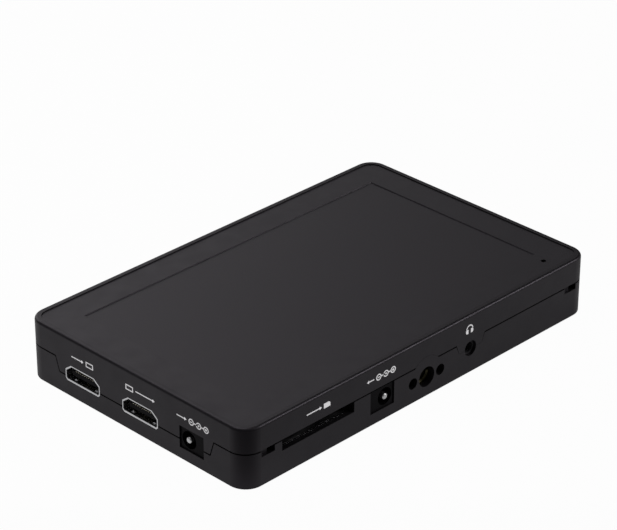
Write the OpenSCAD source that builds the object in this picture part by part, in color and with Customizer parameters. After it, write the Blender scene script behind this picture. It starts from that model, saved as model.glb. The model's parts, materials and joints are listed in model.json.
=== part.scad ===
// Camera field monitor with a 5.5 inch screen, lying on its back with the screen up.
// The origin is the bottom centre of the body. +X is the right of the picture,
// +Y is its top, and +Z points out of the screen.
// The side at -X carries the video sockets, the side at -Y the card slot, the
// power inlet, the mounting thread and the headphone socket.

/* [Body] */
// Width of the body, from left to right of the picture
body_w = 147; // [144:0.5:158]
// Height of the body, from bottom to top of the picture
body_h = 92.4; // [90:0.2:102]
// Depth of the body, from back to front
body_d = 19.85; // [19.5:0.05:22]
// Radius of the four upright corners
corner_r = 6; // [5:0.25:8]
// Radius of the edge round the front face
front_edge_r = 0.9; // [0.4:0.1:1.2]
// Radius of the edge round the back face
back_edge_r = 0.4; // [0.2:0.1:0.8]
// Thickness of the side walls
wall = 2; // [1.7:0.1:2.3]
// Thickness of the back wall
back_t = 2; // [1.6:0.1:2.2]

/* [Seam] */
// Distance of the seam between the shells from the front of the body
seam_drop = 8.4; // [8.2:0.1:9]
// Drop of the seam to its lower stretch, beside the video sockets
seam_step = 4.75; // [4:0.05:5.2]
// Width of the dark line between the shells
seam_gap = 0.45; // [0.2:0.05:0.5]
// Width of that line round the thread and under the headphone socket, where the shells meet closely
tight_gap = 0.06; // [0.04:0.02:0.2]
// Height of the inner lip that closes the seam
lip_h = 1.4; // [1:0.1:1.8]
// Low stretch of the seam: its ends from the middle of the side
seam_low_y0 = -32.3; // [-33:0.1:-31.5]
seam_low_y1 = 32.0; // [31.5:0.1:33]

/* [Front] */
// Width of the rim round the front face
rim_w = 2; // [1.6:0.1:2.6]
// Depth of the front face below its rim
rim_step = 0.3; // [0.2:0.05:0.5]
// Distances of the screen window from the sides of the body
border_left = 12.5; // [11.5:0.1:13]
border_right = 12.5; // [12:0.1:14]
border_bottom = 11.75; // [10.5:0.05:12.5]
border_top = 12; // [11.5:0.05:13.5]
// Thickness of the window's edge, and width of the bevel along it
window_lip = 0.3; // [0.25:0.05:0.5]
window_bevel = 0.25; // [0.1:0.05:0.25]
// Overlap of the screen cover behind the window's edge
cover_lap = 2; // [1.5:0.1:2.4]
// Thickness of the screen cover
cover_t = 0.8; // [0.6:0.1:1]
// Diameter of the light dot, and its distances from the sides at +X and -Y
dot_d = 1.55; // [1.2:0.05:1.8]
dot_inset_x = 13.6; // [13:0.1:15]
dot_inset_y = 6.8; // [6:0.1:7.4]

/* [Video sockets] */
// Width, height and depth of a socket's steel shell
video_w = 15; // [14.5:0.1:15.4]
video_h = 5.5; // [5.3:0.1:5.7]
video_l = 11.5; // [10:0.5:13]
// Thickness of the steel sheet
video_t = 0.35; // [0.3:0.05:0.45]
// Chamfers of its upper corners, across and down
video_cut_w = 2.4; // [2:0.1:2.8]
video_cut_h = 1.8; // [1.5:0.1:2.1]
// Middle of the input and of the output along the side
video_in_y = 21.7; // [20.5:0.1:22.5]
video_out_y = -3.1; // [-5:0.1:-2]

/* [Power sockets] */
// Width, height and depth of a power socket
jack_w = 9.4; // [8.8:0.1:9.6]
jack_h = 7; // [6.8:0.1:7.2]
jack_l = 12.6; // [11.4:0.2:12.8]
// Diameter of its hole and of its centre pin
jack_hole_d = 5.6; // [5.4:0.1:5.8]
jack_pin_d = 2; // [1.9:0.1:2.5]
// Depth of its hole
jack_hole_l = 9; // [8:0.5:10]
// Offset of the hole from the middle of the socket
jack_hole_shift = 1.3; // [1:0.1:1.4]
// Middle of the outlet on the -X side
power_out_y = -24.65; // [-25:0.05:-24]
// Place of the inlet between the card socket, at 0, and the threaded block, at 1
power_in_share = 0.74; // [0.5:0.01:0.85]

/* [Card slot] */
// Width and height of the slot in the shell, and distance of its middle from the side at -X
slot_w = 28.9; // [28:0.1:30]
slot_h = 3.45; // [3.3:0.05:3.7]
slot_inset = 28.75; // [28:0.25:30]
// Width and thickness of the passage for the card, and the socket's depth
card_w = 24.8; // [24.4:0.1:25.2]
card_t = 2.5; // [2.3:0.1:2.6]
socket_l = 27; // [25:0.5:29]
// Travel of the slider that ejects the card
card_travel = 1.5; // [1:0.1:2]

/* [Mounting thread] */
// Diameter of the thread, its place along the -Y side, and its height over the middle of its block
thread_d = 6.3; // [6:0.05:6.6]
thread_x = 0.2; // [-0.5:0.1:0.8]
thread_lift = 0.15; // [0:0.05:0.3]
// Clearance round the screw in the hole of the shells
thread_clear = 0.25; // [0.1:0.05:0.5]
// Depth of the thread in its block
thread_l = 9; // [7:0.5:9.5]
// Diameter and spacing of the two locating holes
pin_d = 3.6; // [3:0.1:3.8]
pin_pitch = 11.7; // [11.2:0.1:12.4]
// Depth of the locating holes
pin_l = 5; // [4:0.5:7]
// Radius of the round tongue of the rear shell about the thread
tongue_r = 6.85; // [6.4:0.05:7.2]
// Width and depth of the threaded block
block_w = 24; // [20:0.5:25]
block_l = 10.5; // [10:0.1:10.8]

/* [Headphone socket] */
// Diameter of the hole in the shells, and its distance from the thread
phone_d = 5.05; // [4.9:0.05:5.3]
phone_pitch = 19.1; // [18:0.1:20]
// Diameter of the bore for the plug
phone_bore_d = 3.6; // [3.5:0.05:3.7]
// Width, height and length of the socket's body
phone_w = 6.2; // [6:0.1:6.8]
phone_h = 5.6; // [5.4:0.1:6]
phone_l = 11.4; // [11:0.1:11.4]

/* [Hood slots] */
// Length and height of a slot, and the distance of its middle from the side of the body
hook_w = 5.2; // [4.6:0.1:5.6]
hook_h = 2; // [1.7:0.1:2.3]
hook_inset = 8.65; // [8.2:0.05:9.5]
// Middle of the pair of slots along the side
hook_x = 0.25; // [-0.5:0.05:0.5]
// Depth of a slot's shallow part, and the width of its deep part
hook_t = 1.1; // [0.8:0.1:1.3]
hook_deep_w = 2.1; // [1.8:0.1:2.5]

/* [Keys] */
// Width, height and spacing of the keys, and distance of the row's middle from the side at +X
key_w = 6.2; // [5.6:0.1:6.6]
key_h = 3.2; // [2.8:0.1:3.4]
key_pitch = 8; // [7.9:0.1:8.2]
key_row_inset = 35.5; // [35:0.5:37.5]
// Distance of the keys' middle below the seam
key_drop = 3.85; // [3.65:0.05:4.05]
// Travel of a key
key_travel = 0.35; // [0.25:0.05:0.4]
// Depth of the trough that the keys stand in
trough_t = 0.8; // [0.6:0.1:0.9]

/* [Battery bay] */
// Width and depth of the bay in the back
bay_w = 40; // [39:0.5:41]
bay_d = 4.2; // [4:0.1:4.4]
// Distance of the bay from the side at +Y, and gap between its wall and the threaded block
bay_inset = 9.2; // [9:0.1:12]
bay_gap = 1; // [0.6:0.1:2]
// Thickness of the battery plate
plate_t = 1.5; // [1.3:0.1:1.7]
// Travel of the latch
latch_travel = 1.6; // [1.2:0.1:1.8]

/* [Boards and screws] */
// Thickness of the main board
board_t = 1.6; // [1.2:0.1:1.6]
// Distance of a case screw from the sides of the body
screw_inset = 7; // [6.8:0.1:7.4]
// Diameter of a case screw and of its head
screw_d = 2.5; // [2.3:0.1:2.6]
screw_head_d = 4.6; // [4.2:0.1:4.8]
// Clearance between pieces that fit each other
fit = 0.1; // [0.05:0.01:0.15]
// Clearance round a piece that moves
slide_fit = 0.15; // [0.1:0.01:0.2]

/* [Hidden] */
$fn = 48;
cut = 1;
half_w = body_w / 2;
half_h = body_h / 2;
seam_z = body_d - seam_drop;
seam_low_z = seam_z - seam_step;
window_w = body_w - border_left - border_right;
window_h = body_h - border_bottom - border_top;
window_x = (border_left - border_right) / 2;
window_y = (border_bottom - border_top) / 2;
dot_x = half_w - dot_inset_x;
dot_y = -half_h + dot_inset_y;
inner_w = body_w - 2 * wall;
inner_h = body_h - 2 * wall;
inner_r = corner_r - wall;
lip_clear = 0.12;
seam_slant_x = 1.6;
seam_slant_y = 1.2;
phone_notch_w = 12.5;

// Stack behind the window, from front to back
face_z = body_d - rim_step;
cover_top = face_z - window_lip;
cover_z = cover_top - cover_t;
gasket_t = 0.3;
pipe_d = 3;
lamp_w = 1.6;
lamp_l = 0.8;
lamp_h = 0.7;
dot_recess = 0.5;
gasket_w = 1.6;
panel_t = 1.2;
panel_margin = 2.1;
light_t = 2;
panel_z = cover_z - gasket_t - panel_t;
light_z = panel_z - light_t;
frame_t = 1;
frame_z = light_z - frame_t;
plate_front_t = 1.5;
plate_z = face_z - plate_front_t;
pocket_w = window_w + 2 * cover_lap;
pocket_h = window_h + 2 * cover_lap;

// Main board under the screen, with the sockets hanging from it
board_z = seam_z - 0.25;
board_top = board_z + board_t;
board_gap = 1.2;
board_low = 4.2;
board_high = 8.2;
board_w = inner_w - 2 * board_gap - 2;
board_h = body_h - board_low - board_high;
board_y = (board_low - board_high) / 2;
notch_w = 9;
notch_l = 14;
frame_w = window_w + 2 * panel_margin;
frame_h = window_h + 2 * panel_margin;
standoff_d = 4.6;
standoff_gap = 3.15;
standoff_inset_x = 11;
standoff_inset_y = 5.45;

// Chips: middle as a share of the board, then width and length
chip_t = 1.2;
chip_w = 17;
memory_w = 10;
memory_l = 13;
small_w = 7.5;
chips = [[0, 0.1, chip_w, chip_w], [-0.173, 0.15, memory_w, memory_l], [0.173, 0.15, memory_w, memory_l],
    [0.12, 0.375, small_w, small_w], [0.26, -0.125, small_w, small_w],
    [-0.188, -0.075, small_w, small_w], [0.346, 0.1, small_w, small_w]];
top_chip_t = 0.7;
top_chip_w = 6;
top_chips = [[-0.29, 0.175], [0.09, 0.175], [0.29, 0.175]];
pad_t = 0.8;
pad_w = 52;
pad_l = 16;
pad_share = 0.11;
spreader_t = 1;
spreader_w = 56;
spreader_l = 34;

// Screw places
case_screw_x = half_w - screw_inset;
case_screw_y = half_h - screw_inset;
boss_d = 6;
insert_d = 3.6;
insert_l = 4;
screw_head_t = 1.6;
screw_sink = 1;
frame_tab_x = inner_w / 2 - 4.2;
frame_tab_y = 18;
frame_tab_w = 12;
frame_tab_l = 6;
small_screw_d = 2;
small_head_d = 3.6;
small_head_t = 1.1;
frame_screw_l = 2.4;
block_screw_x = block_w / 2 - 2.2;
block_screw_z = 0.3;
block_screw_l = 4;
block_screw_hole = 3.8;
flex_gap = 17.5;
flex_x = dot_x - flex_gap;

// Sockets
video_top = board_z - 0.5;
video_z = video_top - video_h / 2;
video_recess = 0.05;
hem_l = 0.5;
hem_t = 0.25;
hem_inset = 1;
tongue_w = 10.6;
tongue_t = 1.5;
tongue_top = 0.9;
tongue_back = 0.8;
dome_y = 4.45;
dome_depth = 1.7;
jack_drop = 0.2;
jack_top = board_z - jack_drop;
jack_z = jack_top - jack_h / 2;
jack_recess = 0.4;
jack_gap = 0.25;
pin_tip = -0.35;
pin_round = 0.45;
slot_x = -half_w + slot_inset;
socket_y = -half_h + wall + 0.3;
socket_top = board_z;
rail_w = 2.9;
socket_w = card_w + 2 * rail_w;
roof_t = 0.5;
sheet_t = 0.3;
passage_top = socket_top - roof_t;
passage_z = passage_top - card_t;
slider_l = 8;
slider_w = 2;
slider_x = slot_x + card_w / 2;
slider_y = socket_y + 6;
spring_l = 9;
spring_d = 1.8;
card_contact_w = 0.7;
card_contact_l = 8;
card_contact_pitch = 2.5;
card_contact_y = 12.5;
contact_gap = 0.15;
card_end = slot_x + socket_w / 2;
power_in_x = card_end + power_in_share * (thread_x - block_w / 2 - card_end - jack_w) + jack_w / 2;
block_y = -half_h + wall + fit;
block_low = back_t + fit;
block_top = board_z - 0.2;
thread_z = (block_low + block_top) / 2 + thread_lift;
phone_nose_l = 1.1;
phone_x = thread_x + phone_pitch;
phone_y = -half_h + wall + fit;
phone_z = board_z - phone_h / 2;
hook_pitch = body_w - 2 * hook_inset;
standoffs = [[card_end + standoff_gap, -frame_h / 2 + standoff_inset_y],
    [phone_x + phone_w / 2 + standoff_gap, -frame_h / 2 + standoff_inset_y],
    [-frame_w / 2 + standoff_inset_x, frame_h / 2 - standoff_inset_y],
    [frame_w / 2 - standoff_inset_x, frame_h / 2 - standoff_inset_y]];

// Keys
key_count = 6;
key_row_x = half_w - key_row_inset;
key_z = seam_z - key_drop;
flange_t = 1;
flange_w = 0.6;
post_l = 0.8;
post_d = 2;
key_y = half_h - 0.1;
flange_y = half_h - wall - fit - flange_t;
switch_gap = key_travel + 0.1;
switch_w = 4.4;
switch_h = 3.2;
switch_t = 1.7;
stem_t = 0.3;
switch_y = flange_y - post_l - switch_gap - stem_t - switch_t;
key_board_t = 1;
key_board_y = switch_y - key_board_t;
key_board_w = (key_count - 1) * key_pitch + switch_w + 4;
key_board_drop = 3;
key_board_z = key_z - key_board_drop;
trough_margin = 1;

// Battery bay
bay_wall = 1.6;
bay_top = bay_d + bay_wall;
plate_screw_x = 3.5;
plate_screw_y = 4;
plate_screw_out = 0.4;
plate_screw_l = 1.9;
latch_inset = 12;
bay_y0 = block_y + block_l + bay_gap + bay_wall;
bay_y1 = half_h - bay_inset;
bay_l = bay_y1 - bay_y0;
bay_y = (bay_y0 + bay_y1) / 2;
vent_w = 22;
vent_h = 1.6;
vent_pitch = 4;
vent_gap = 13;
vent_x = bay_w / 2 + vent_gap + vent_w / 2;
latch_w = 7;
latch_l = 4;
latch_y = bay_y1 - latch_inset;
latch_flange = 0.8;
lug_z = 0.5;
flange_z = bay_d + 0.05;
spring_hole_l = 2.2;
cage_top = flange_z + 1 + latch_travel + 0.6;
cage_wall = 1;
cage_gap = 1;
cage_w = latch_w + 2 * (latch_flange + slide_fit + cage_wall);
cage_l = latch_l + 2 * (latch_flange + slide_fit + cage_wall);
spreader_y = latch_y - 2 - spreader_l / 2;
hook_tab_l = 7;
hook_tab_w = 2.4;
hook_tab_h = 1;
hook_tab_z = 0.3;
hook_tabs_y = [-18, 6];
stop_w = 18;
stop_l = 7;
contact_w = 1;
contact_l = 6;
contact_h = 1.9;
contact_pitch = 5.2;
contact_inset = 6.4;
contact_y = bay_y1 - contact_inset;
tail_y = contact_y + 3.4;
lead_d = 1;

// Rectangle with round corners about the origin
module rounded_rect(w, h, r) {
    square([w - 2 * r, h], center = true);
    square([w, h - 2 * r], center = true);
    for (x = [-1, 1], y = [-1, 1])
        translate([x * (w / 2 - r), y * (h / 2 - r)]) circle(r);
}

// Upright plate with round corners, standing on z
module rounded_plate(w, h, r, z, t) {
    translate([0, 0, z]) linear_extrude(t) rounded_rect(w, h, r);
}

// Upright section of the body from its middle to a side at half
module half_section(half) {
    square([half - front_edge_r, body_d - front_edge_r]);
    translate([0, back_edge_r])
        square([half, body_d - back_edge_r - front_edge_r]);
    square([half - back_edge_r, back_edge_r + cut / 10]);
    translate([0, body_d - front_edge_r - cut / 10])
        square([half - front_edge_r, front_edge_r + cut / 10]);
    translate([half - front_edge_r, body_d - front_edge_r]) circle(front_edge_r);
    translate([half - back_edge_r, back_edge_r]) circle(back_edge_r);
}

// Section from side to side
module full_section(half) {
    half_section(half);
    mirror([1, 0]) half_section(half);
}

// The whole outside of the body as one solid
module body_solid() {
    for (x = [-1, 1], y = [-1, 1])
        translate([x * (half_w - corner_r), y * (half_h - corner_r), 0])
            rotate_extrude() half_section(corner_r);
    rotate([90, 0, 90])
        linear_extrude(body_w - 2 * corner_r, center = true) full_section(half_h);
    rotate([90, 0, 0])
        linear_extrude(body_h - 2 * corner_r, center = true) full_section(half_w);
}

// Shape in y and z, carried through the wall at -X
module through_left(depth = wall) {
    translate([-half_w - cut, 0, 0])
        rotate([90, 0, 90]) linear_extrude(depth + cut) children();
}

// Shape in x and z, carried through the wall at -Y
module through_front(depth = wall) {
    translate([0, -half_h + depth, 0])
        rotate([90, 0, 0]) linear_extrude(depth + cut) children();
}

// Shape in x and z, carried through the wall at +Y
module through_rear(depth = wall) {
    translate([0, half_h + cut, 0])
        rotate([90, 0, 0]) linear_extrude(depth + cut) children();
}

// Region that belongs to the rear shell, grown upwards by lift, sideways by grow, and by
// tight round the thread and under the headphone socket
module rear_zone(lift = 0, grow = 0, tight = 0) {
    top = seam_z + lift;
    low = seam_low_z + lift;
    difference() {
        translate([-half_w - cut, -half_h - cut, -cut])
            cube([body_w + 2 * cut, body_h + 2 * cut, top + cut]);
        through_left(wall + cut) polygon([
            [seam_low_y0 + grow, low], [seam_low_y1 - grow, low],
            [seam_low_y1 + seam_slant_x - grow, top + cut / 10],
            [seam_low_y0 - seam_slant_x + grow, top + cut / 10]]);
        through_front(wall + cut) polygon([
            [phone_x - phone_notch_w / 2 + seam_slant_y + tight, phone_z + tight],
            [phone_x + phone_notch_w / 2 - seam_slant_y - tight, phone_z + tight],
            [phone_x + phone_notch_w / 2 - tight, top + cut / 10],
            [phone_x - phone_notch_w / 2 + tight, top + cut / 10]]);
    }
    through_front() translate([thread_x, thread_z]) circle(tongue_r + tight);
}

// Ring at the inner half of the side walls
module inner_half_wall(clear) {
    t = wall / 2 - clear;
    difference() {
        rounded_plate(inner_w + 2 * t, inner_h + 2 * t, inner_r + t, back_t, body_d - back_t - 4);
        rounded_plate(inner_w, inner_h, inner_r, 0, body_d);
    }
}

// Outline of a video socket in y and z, grown by grow
module video_outline(grow = 0) {
    w = video_w / 2 + grow;
    h = video_h / 2 + grow;
    small = 0.7;
    polygon([
        [-w + small, -h], [w - small, -h], [w, -h + small], [w, h - video_cut_h],
        [w - video_cut_w, h], [-w + video_cut_w, h], [-w, h - video_cut_h], [-w, -h + small]]);
}

// Openings for the sockets at -X
module left_openings() {
    for (y = [video_in_y, video_out_y])
        through_left() translate([y, video_z]) video_outline(fit);
    through_left() translate([power_out_y, jack_z])
        square([jack_w + 2 * jack_gap, jack_h + 2 * fit], center = true);
}

// Openings for the sockets at -Y
module front_openings() {
    through_front() translate([slot_x - slot_w / 2, seam_z - slot_h])
        square([slot_w, slot_h - seam_gap / 2]);
    through_front() translate([power_in_x - jack_w / 2 - jack_gap, jack_z - jack_h / 2 - fit])
        square([jack_w + 2 * jack_gap, jack_h + jack_gap + fit]);
    through_front() translate([thread_x, thread_z]) circle(d = thread_d + thread_clear);
    for (side = [-1, 1])
        through_front() translate([thread_x + side * pin_pitch / 2, thread_z]) circle(d = pin_d);
    through_front() translate([phone_x, phone_z]) circle(d = phone_d);
}

// Slots that take the hooks of a sun hood, on both long sides
module hood_slots() {
    for (side = [-1, 1], y = [0, 1]) mirror([0, y, 0]) {
        x0 = hook_x + side * hook_pitch / 2 - hook_w / 2;
        through_front(hook_t) translate([x0, seam_z - hook_h]) square([hook_w, hook_h]);
        through_front(wall + fit)
            translate([x0 + hook_w - hook_deep_w, seam_z - hook_h])
                square([hook_deep_w, hook_h]);
    }
}

// Places of the four case screws
module at_case_screws() {
    for (x = [-1, 1], y = [-1, 1])
        translate([x * case_screw_x, y * case_screw_y, 0]) children();
}

// Places of the four screws that hold the frame to the front shell
module at_frame_tabs() {
    for (x = [-1, 1], y = [-1, 1])
        translate([x * frame_tab_x, y * frame_tab_y, 0]) children();
}

// Places of the four screws that hold the main board to the frame
module at_standoffs() {
    for (place = standoffs) translate([place[0], place[1], 0]) children();
}

// Places of the two screws that hold the threaded block to the back
module at_block_screws() {
    for (side = [-1, 1])
        translate([thread_x + side * block_screw_x, block_y + block_l / 2, 0]) children();
}

// Places of the four screws of the battery plate
module at_plate_screws() {
    for (x = [-1, 1], y = [-1, 1])
        translate([x * (bay_w / 2 - plate_screw_x), bay_y + y * (bay_l / 2 - plate_screw_y), 0]) children();
}

// Screw with its head down at z and its shank pointing up
module screw_up(z, d, head_d, head_t, l) {
    translate([0, 0, z]) difference() {
        union() {
            cylinder(d = head_d, h = head_t);
            cylinder(d = d, h = head_t + l);
        }
        translate([0, 0, -cut]) cylinder(d = head_d * 0.45, h = cut + head_t * 0.6, $fn = 6);
    }
}

// Upright section through the window, with a bevel at its upper edge
module window_section(size) {
    half = size / 2;
    edge = window_bevel + cut / 10;
    polygon([[-half, plate_z - cut], [half, plate_z - cut], [half, face_z - window_bevel],
        [half + edge, face_z + cut / 10], [-half - edge, face_z + cut / 10], [-half, face_z - window_bevel]]);
}

// Opening of the window, about the origin in x and y
module window_opening() {
    intersection() {
        rotate([90, 0, 90]) linear_extrude(pocket_w, center = true) window_section(window_h);
        rotate([90, 0, 0]) linear_extrude(pocket_h, center = true) window_section(window_w);
    }
}

module front_shell() {
    color([0.17, 0.165, 0.175]) difference() {
        union() {
            difference() {
                body_solid();
                rounded_plate(inner_w, inner_h, inner_r, -cut, plate_z + cut);
                rear_zone(seam_gap / 2, seam_gap / 2, tight_gap / 2);
                intersection() {
                    inner_half_wall(-lip_clear);
                    rear_zone(lip_h + seam_gap, seam_gap, lip_h + seam_gap);
                }
            }
            at_case_screws() translate([0, 0, seam_z + seam_gap])
                cylinder(d = boss_d, h = plate_z - seam_z);
            at_frame_tabs() translate([0, 0, frame_z + frame_t])
                cylinder(d = boss_d - 1, h = plate_z - frame_z);
        }
        rounded_plate(body_w - 2 * rim_w, body_h - 2 * rim_w, corner_r - rim_w, face_z, cut);
        translate([window_x, window_y, 0]) {
            window_opening();
            translate([-pocket_w / 2 - fit, -pocket_h / 2 - fit, plate_z - cut])
                cube([pocket_w + 2 * fit, pocket_h + 2 * fit, cover_top - plate_z + cut]);
        }
        translate([dot_x, dot_y, plate_z - cut]) cylinder(d = dot_d + fit, h = body_d);
        left_openings();
        front_openings();
        at_case_screws() translate([0, 0, seam_z])
            cylinder(d = insert_d, h = insert_l + seam_gap);
        at_case_screws() translate([0, 0, seam_z])
            cylinder(d = screw_d + 0.4, h = insert_l + 1.5);
        at_frame_tabs() translate([0, 0, frame_z])
            cylinder(d = small_screw_d, h = frame_t + frame_screw_l + 0.3);
    }
}

// Rows of cooling slots in the back, on either side of the battery bay
module vents() {
    for (x = [-1, 1], i = [-5:5])
        translate([x * vent_x, bay_y + i * vent_pitch, -cut])
            linear_extrude(back_t + 2 * cut) rounded_rect(vent_w, vent_h, vent_h / 2 - 0.01);
}

module rear_shell() {
    color([0.15, 0.147, 0.155]) difference() {
        union() {
            intersection() {
                difference() {
                    body_solid();
                    rounded_plate(inner_w, inner_h, inner_r, back_t, body_d);
                }
                rear_zone(-seam_gap / 2, 0, -tight_gap / 2);
            }
            intersection() {
                inner_half_wall(lip_clear);
                rear_zone(lip_h, 0, lip_h);
                translate([0, 0, seam_low_z - 2 + body_d / 2])
                    cube([body_w, body_h, body_d], center = true);
            }
            at_case_screws() cylinder(d = boss_d, h = seam_z);
            translate([-bay_w / 2 - bay_wall, bay_y - bay_l / 2 - bay_wall, 0])
                cube([bay_w + 2 * bay_wall, bay_l + 2 * bay_wall, bay_top]);
            translate([key_row_x - key_board_w / 2, key_board_y - 0.8, back_t / 2])
                cube([key_board_w, key_board_t + 1.6, key_board_z + 0.6 - back_t / 2]);
        }
        translate([-bay_w / 2, bay_y - bay_l / 2, -cut]) cube([bay_w, bay_l, bay_d + cut]);
        translate([key_row_x - key_board_w / 2 - cut, key_board_y - fit / 2, key_board_z - fit])
            cube([key_board_w + 2 * cut, key_board_t + fit, body_d]);
        left_openings();
        front_openings();
        hood_slots();
        vents();
        at_case_screws() {
            translate([0, 0, -cut]) cylinder(d = screw_head_d + 0.4, h = screw_sink + screw_head_t + cut);
            translate([0, 0, -cut]) cylinder(d = screw_d + 0.4, h = body_d);
        }
        at_block_screws() {
            translate([0, 0, -cut]) cylinder(d = small_head_d + 0.4, h = block_screw_z + small_head_t + cut);
            translate([0, 0, -cut]) cylinder(d = small_screw_d + 0.3, h = body_d);
        }
        at_plate_screws() translate([0, 0, bay_d - cut]) cylinder(d = small_screw_d, h = bay_wall + 2 * cut);
        translate([-1.4 * contact_pitch, tail_y - 1, bay_d - cut])
            cube([2.8 * contact_pitch, 3, bay_wall + 2 * cut]);
        translate([-cage_w / 2 + cage_wall, latch_y - cage_l / 2 + cage_wall, bay_d - cut])
            cube([cage_w - 2 * cage_wall, cage_l - 2 * cage_wall, cut + cage_top - bay_d]);
        key_trough();
    }
    color([0.15, 0.147, 0.155]) latch_cage();
}

// Cage over the latch that its spring pushes against
module latch_cage() {
    w = cage_w - 2 * cage_wall;
    l = cage_l - 2 * cage_wall;
    difference() {
        translate([-cage_w / 2, latch_y - cage_l / 2, bay_d]) cube([cage_w, cage_l, cage_top + 0.8 - bay_d]);
        translate([-w / 2, latch_y - l / 2, bay_d - cut]) cube([w, l, cage_top - bay_d + cut]);
    }
}

// Trough of the keys and the holes that their caps pass through
module key_trough() {
    row = (key_count - 1) * key_pitch + key_w + 2 * trough_margin;
    through_rear(trough_t) translate([key_row_x, key_z])
        square([row, key_h + 2 * trough_margin], center = true);
    for (i = [0:key_count - 1])
        through_rear() translate([key_x(i), key_z])
            square([key_w + 2 * slide_fit, key_h + 2 * slide_fit], center = true);
}

function key_x(i) = key_row_x + (i - (key_count - 1) / 2) * key_pitch;

module screen_cover() {
    color([0.14, 0.14, 0.15]) translate([window_x, window_y, cover_z + cover_t / 2])
        cube([pocket_w, pocket_h, cover_t], center = true);
}

module cover_gasket() {
    color([0.08, 0.08, 0.08]) translate([window_x, window_y, cover_z - gasket_t / 2]) difference() {
        cube([pocket_w, pocket_h, gasket_t], center = true);
        cube([pocket_w - 2 * gasket_w, pocket_h - 2 * gasket_w, gasket_t + cut], center = true);
    }
}

module lcd_panel() {
    color([0.2, 0.22, 0.26]) translate([window_x, window_y, panel_z + panel_t / 2])
        cube([frame_w, frame_h, panel_t], center = true);
}

module backlight_unit() {
    color([0.75, 0.76, 0.78]) translate([window_x, window_y, light_z + light_t / 2])
        cube([frame_w, frame_h, light_t], center = true);
}

module mid_frame() {
    color([0.7, 0.71, 0.73]) difference() {
        union() {
            translate([window_x, window_y, frame_z + frame_t / 2])
                cube([frame_w, frame_h, frame_t], center = true);
            for (x = [-1, 1], y = [-1, 1])
                translate([x * (frame_tab_x - 3), y * frame_tab_y, frame_z + frame_t / 2])
                    cube([frame_tab_w, frame_tab_l, frame_t], center = true);
            at_standoffs() translate([0, 0, board_top])
                cylinder(d = standoff_d, h = frame_z - board_top + frame_t / 2);
        }
        translate([window_x, window_y, frame_z]) {
            for (x = [-1, 1])
                translate([x * frame_w / 4, 0, 0])
                    cube([frame_w / 3.4, frame_h / 2, 4 * frame_t], center = true);
        }
        at_frame_tabs() translate([0, 0, frame_z - cut])
            cylinder(d = small_screw_d + 0.3, h = frame_t + 2 * cut);
        at_standoffs() translate([0, 0, board_top - cut])
            cylinder(d = small_screw_d, h = frame_z - board_top + frame_t / 2 + cut);
    }
}

module screen_flex() {
    flex_w = 24;
    flex_t = 0.3;
    loop = 1.6;
    mid_z = panel_z + panel_t / 2;
    y0 = window_y - window_h / 2 - panel_margin;
    color([0.75, 0.45, 0.12]) translate([flex_x - flex_w / 2, y0 - loop, 0]) {
        translate([0, 0, board_top]) cube([flex_w, flex_t, mid_z - board_top]);
        translate([0, 0, mid_z]) cube([flex_w, loop, flex_t]);
        translate([0, 0, board_top]) cube([flex_w, 2.4 * loop, 0.8]);
    }
}

module main_board() {
    color([0.05, 0.25, 0.14]) difference() {
        translate([0, board_y, board_z + board_t / 2]) cube([board_w, board_h, board_t], center = true);
        at_case_screws() translate([0, 0, board_z - cut]) cylinder(d = boss_d + 1.6, h = board_t + 2 * cut);
        at_standoffs() translate([0, 0, board_z - cut])
            cylinder(d = small_screw_d + 0.3, h = board_t + 2 * cut);
        for (x = [-1, 1], y = [-1, 1])
            translate([x * (board_w / 2), y * half_h + board_y / 2, board_z + board_t / 2])
                cube([notch_w, notch_l, board_t + 2 * cut], center = true);
        at_frame_tabs() translate([0, 0, board_z - cut])
            cylinder(d = small_head_d + 1, h = board_t + 2 * cut);
    }
}

// Chips on both sides of the board
module board_chips() {
    color([0.1, 0.1, 0.11]) {
        for (c = chips) translate([c[0] * board_w, board_y + c[1] * board_h, board_z - chip_t / 2])
            cube([c[2], c[3], chip_t], center = true);
        for (c = top_chips) translate([c[0] * board_w, board_y + c[1] * board_h, board_top + top_chip_t / 2])
            cube([top_chip_w, top_chip_w, top_chip_t], center = true);
    }
}

module thermal_pad() {
    color([0.55, 0.6, 0.68]) translate([0, board_y + pad_share * board_h, board_z - chip_t - pad_t / 2])
        cube([pad_w, pad_l, pad_t], center = true);
}

module heat_spreader() {
    z = board_z - chip_t - pad_t - spreader_t;
    color([0.72, 0.73, 0.75]) difference() {
        translate([0, spreader_y, z + spreader_t / 2])
            cube([spreader_w, spreader_l, spreader_t], center = true);
        translate([-cage_w / 2 - cage_gap, latch_y - cage_l / 2 - cage_gap, z - cut])
            cube([cage_w + 2 * cage_gap, spreader_l, spreader_t + 2 * cut]);
    }
}

// Steel shell of a video socket, with its mouth at the outside of the -X wall, its lower
// edge folded in, two spring domes inside and four legs up to the board
module video_shell(y) {
    leg_w = 1.2;
    leg_z = video_h / 2 - video_cut_h - 0.5;
    hem_w = video_w - 2 * hem_inset;
    color([0.78, 0.78, 0.8]) translate([-half_w + video_recess, y, video_z]) {
        rotate([90, 0, 90]) difference() {
            linear_extrude(video_l) video_outline();
            translate([0, 0, -cut]) linear_extrude(video_l - video_t + cut) video_outline(-video_t);
        }
        translate([0, -hem_w / 2, -video_h / 2 + video_t / 2]) cube([hem_l, hem_w, video_t / 2 + hem_t]);
        for (side = [-1, 1]) intersection() {
            translate([dome_depth, side * dome_y, -video_h / 2 + video_t - 0.3]) sphere(0.75);
            translate([0, -video_w / 2, -video_h / 2 + video_t / 2]) cube([video_l, video_w, 1]);
        }
        for (x = [3.5, 9], side = [-1, 1])
            translate([x, side * (video_w - video_t) / 2 - video_t / 2, leg_z])
                cube([leg_w, video_t, board_z - video_z - leg_z]);
    }
}

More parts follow.
